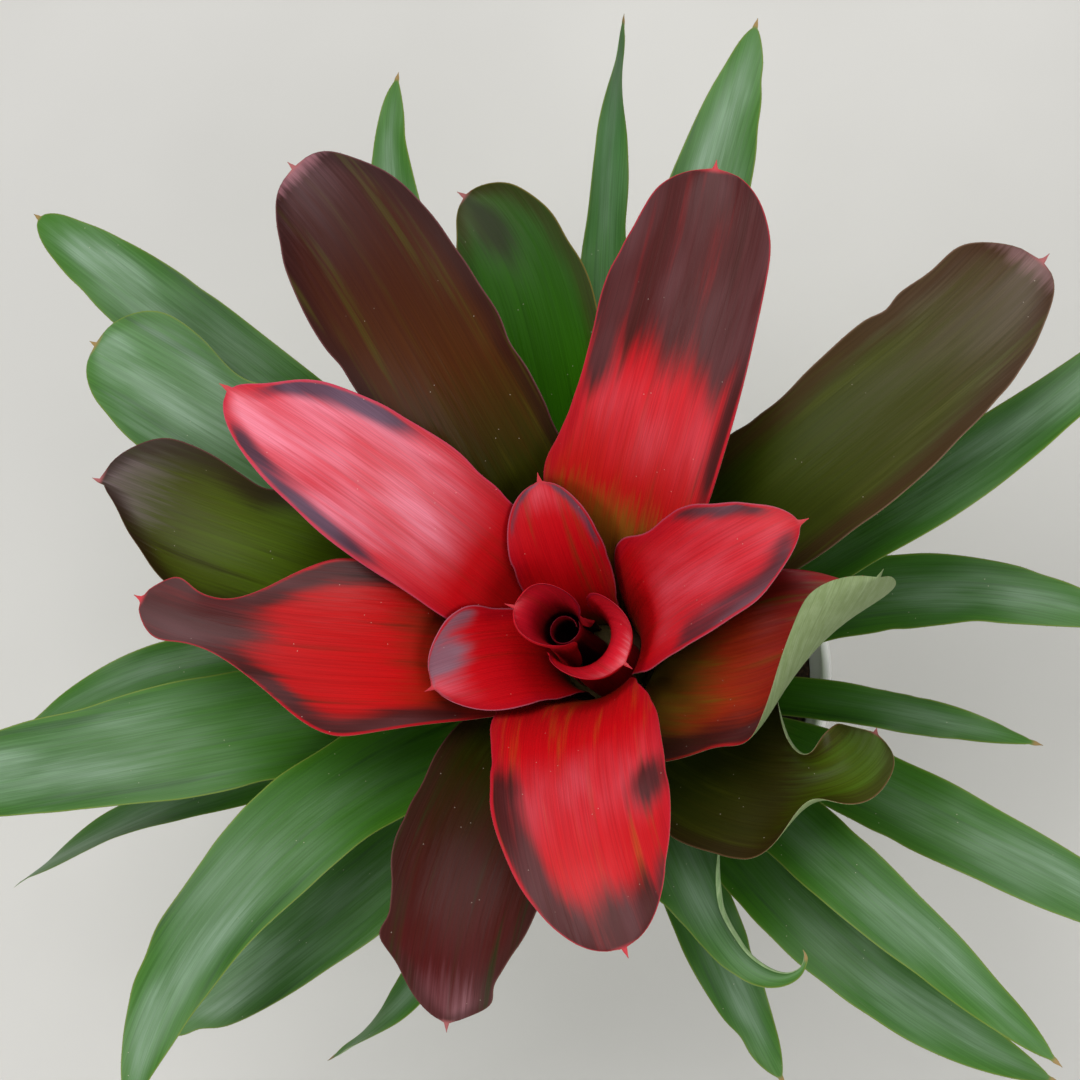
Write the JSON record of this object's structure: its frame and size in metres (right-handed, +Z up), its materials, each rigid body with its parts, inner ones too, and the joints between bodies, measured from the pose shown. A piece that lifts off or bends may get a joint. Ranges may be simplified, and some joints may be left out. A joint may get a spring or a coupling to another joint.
{
  "type": "potted neoregelia bromeliad",
  "caption": "Bromeliad with a red heart, bronze inner leaves and green outer leaves that spread from a central cup, growing in a round white plastic nursery pot.",
  "frame": {"origin": "middle of the pot's flat bottom, on the surface it stands on", "axes": "+Z up; +Y towards the top of the picture and +X towards its right side, so the widest red leaves point along -X, +Y and -Y"},
  "size_m": [0.4618, 0.391, 0.2714],
  "materials": {
    "red_leaf": "satin",
    "bronze_leaf": "satin",
    "green_leaf": "satin",
    "stem": "matte",
    "potting_mix": "matte",
    "white_plastic": "satin"
  },
  "bodies": {
    "root": {"bronze_leaf_n": "bronze_leaf", "bronze_leaf_ne": "bronze_leaf", "bronze_leaf_nw": "bronze_leaf", "bronze_leaf_s": "bronze_leaf", "bronze_leaf_se": "bronze_leaf", "bronze_leaf_w": "bronze_leaf", "green_leaf_e": "green_leaf", "green_leaf_e_low": "green_leaf", "green_leaf_ene": "green_leaf", "green_leaf_ese": "green_leaf", "green_leaf_n_edgewise": "green_leaf", "green_leaf_nne": "green_leaf", "green_leaf_nnw": "green_leaf", "green_leaf_nw": "green_leaf", "green_leaf_s_low": "green_leaf", "green_leaf_se": "green_leaf", "green_leaf_sse": "green_leaf", "green_leaf_sse_hooked": "green_leaf", "green_leaf_ssw": "green_leaf", "green_leaf_ssw_curled": "green_leaf", "green_leaf_sw_low": "green_leaf", "green_leaf_w_low": "green_leaf", "green_leaf_w_thin": "green_leaf", "green_leaf_wnw": "green_leaf", "green_leaf_wsw": "green_leaf", "green_leaf_wsw_twisted": "green_leaf", "heart_leaf_se": "red_leaf", "heart_leaf_w": "red_leaf", "heart_tube": "red_leaf", "inner_leaf_n": "red_leaf", "inner_leaf_sw": "red_leaf", "pot": "white_plastic", "potting_mix": "potting_mix", "red_leaf_e": "red_leaf", "red_leaf_n": "red_leaf", "red_leaf_nw": "red_leaf", "red_leaf_s": "red_leaf", "red_leaf_se": "red_leaf", "red_leaf_w": "red_leaf", "stem": "stem"}
  },
  "joints": []
}
